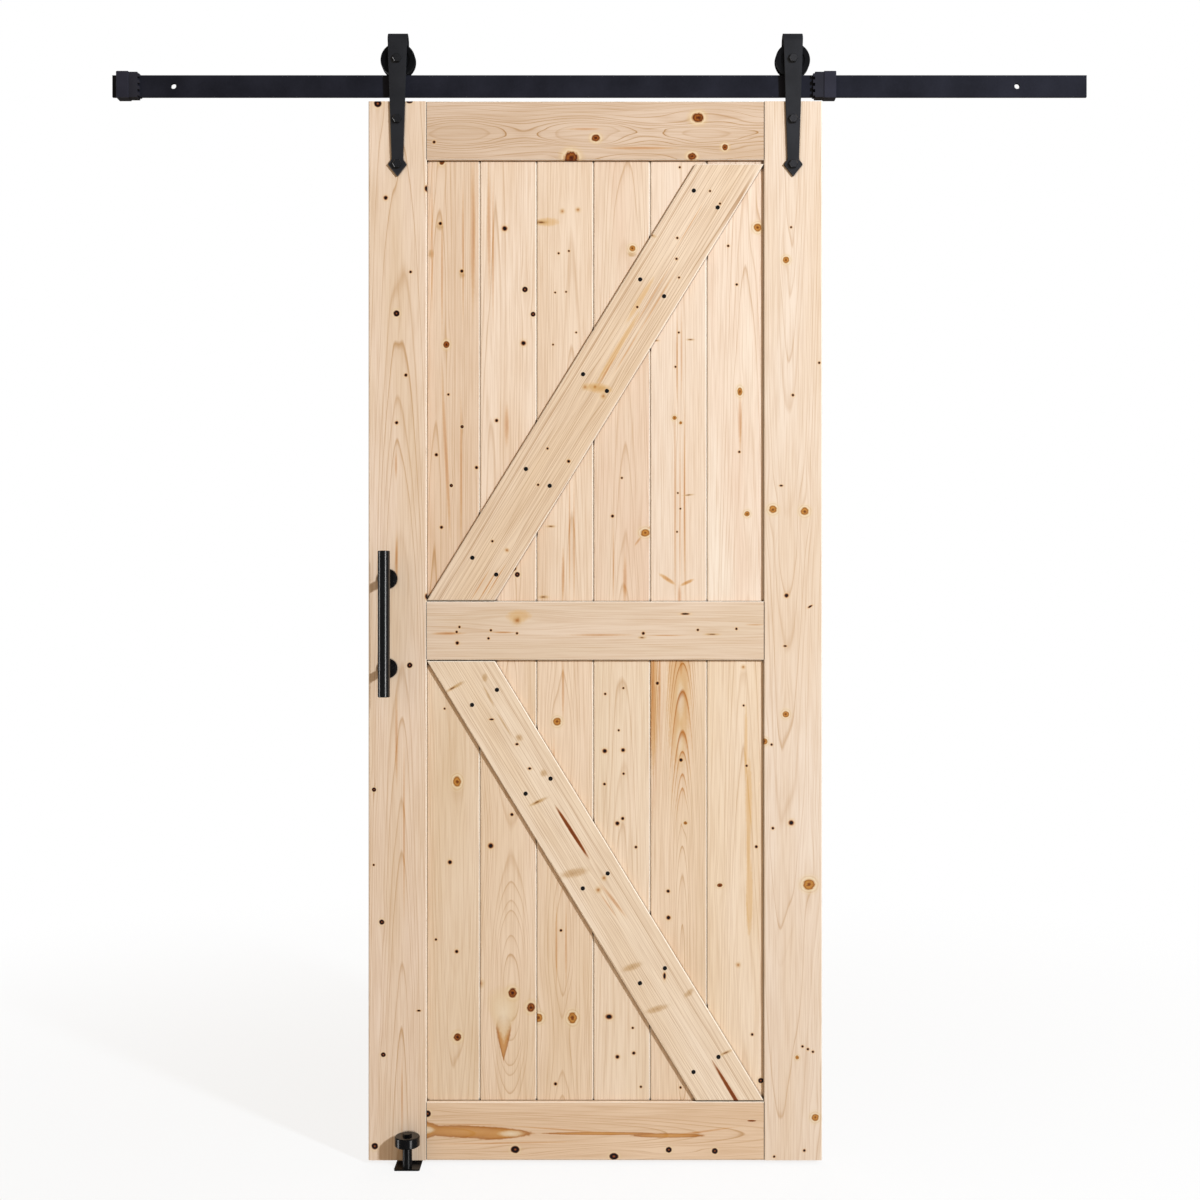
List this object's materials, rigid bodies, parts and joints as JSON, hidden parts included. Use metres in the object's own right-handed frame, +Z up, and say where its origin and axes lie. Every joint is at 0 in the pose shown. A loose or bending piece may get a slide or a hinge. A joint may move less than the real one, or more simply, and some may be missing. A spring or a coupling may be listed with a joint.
{
  "type": "barn door",
  "caption": "Sliding wooden barn door with diagonal braces, hung by arrow-tipped strap hangers and grooved wheels on a black wall rail, with pull handle, rail stops and floor roller.",
  "frame": {"origin": "middle of the left wall spacer's back face, on the wall plane and level with the wall rail's middle", "axes": "+X to the right along the rail as seen from the room, +Y into the wall, +Z up"},
  "size_m": [1.97, 0.118, 2.282],
  "materials": {
    "spruce_frame": "bare planed",
    "spruce_boards": "bare planed",
    "spruce_braces": "bare planed",
    "satin_black_steel": "satin",
    "black_nylon": "satin",
    "black_rubber": "matte"
  },
  "bodies": {
    "track": {"track_bar": "satin_black_steel", "left_wall_spacer": "satin_black_steel", "right_wall_spacer": "satin_black_steel", "left_stop": "satin_black_steel", "right_stop": "satin_black_steel", "guide_plate": "satin_black_steel", "guide_axle": "satin_black_steel", "left_stop_bumper": "black_rubber", "right_stop_bumper": "black_rubber"},
    "door": {"left_stile": "spruce_frame", "right_stile": "spruce_frame", "top_rail": "spruce_frame", "middle_rail": "spruce_frame", "bottom_rail": "spruce_frame", "upper_board_1": "spruce_boards", "upper_board_2": "spruce_boards", "upper_board_3": "spruce_boards", "upper_board_4": "spruce_boards", "upper_board_5": "spruce_boards", "upper_board_6": "spruce_boards", "lower_board_1": "spruce_boards", "lower_board_2": "spruce_boards", "lower_board_3": "spruce_boards", "lower_board_4": "spruce_boards", "lower_board_5": "spruce_boards", "lower_board_6": "spruce_boards", "upper_brace": "spruce_braces", "lower_brace": "spruce_braces", "left_hanger": "satin_black_steel", "right_hanger": "satin_black_steel", "left_axle_bolt": "satin_black_steel", "right_axle_bolt": "satin_black_steel", "left_hanger_bolts": "satin_black_steel", "right_hanger_bolts": "satin_black_steel", "handle_bar": "satin_black_steel", "upper_handle_post": "satin_black_steel", "lower_handle_post": "satin_black_steel", "handle_bolts": "satin_black_steel"},
    "left_wheel": {"left_wheel": "black_nylon"},
    "right_wheel": {"right_wheel": "black_nylon"},
    "guide_roller": {"guide_roller": "black_nylon"}
  },
  "joints": [
    {"name": "door_slide", "type": "slide", "parent": "track", "child": "door", "axis": [-1, 0, 0], "range_m": [0, 0.48]},
    {"name": "left_wheel_spin", "type": "hinge", "parent": "door", "child": "left_wheel", "pos_m": [0, -0.041, 0.051], "axis": [0, 1, 0], "continuous": true},
    {"name": "right_wheel_spin", "type": "hinge", "parent": "door", "child": "right_wheel", "pos_m": [0.797, -0.041, 0.051], "axis": [0, 1, 0], "continuous": true},
    {"name": "guide_roller_spin", "type": "hinge", "parent": "track", "child": "guide_roller", "pos_m": [0.023, -0.0795, -2.11925], "axis": [0, 0, 1], "continuous": true}
  ],
  "couplings": [
    {"joint": "left_wheel_spin", "follows": "door_slide", "rad_per_m": -34.843},
    {"joint": "right_wheel_spin", "follows": "door_slide", "rad_per_m": -34.843}
  ]
}
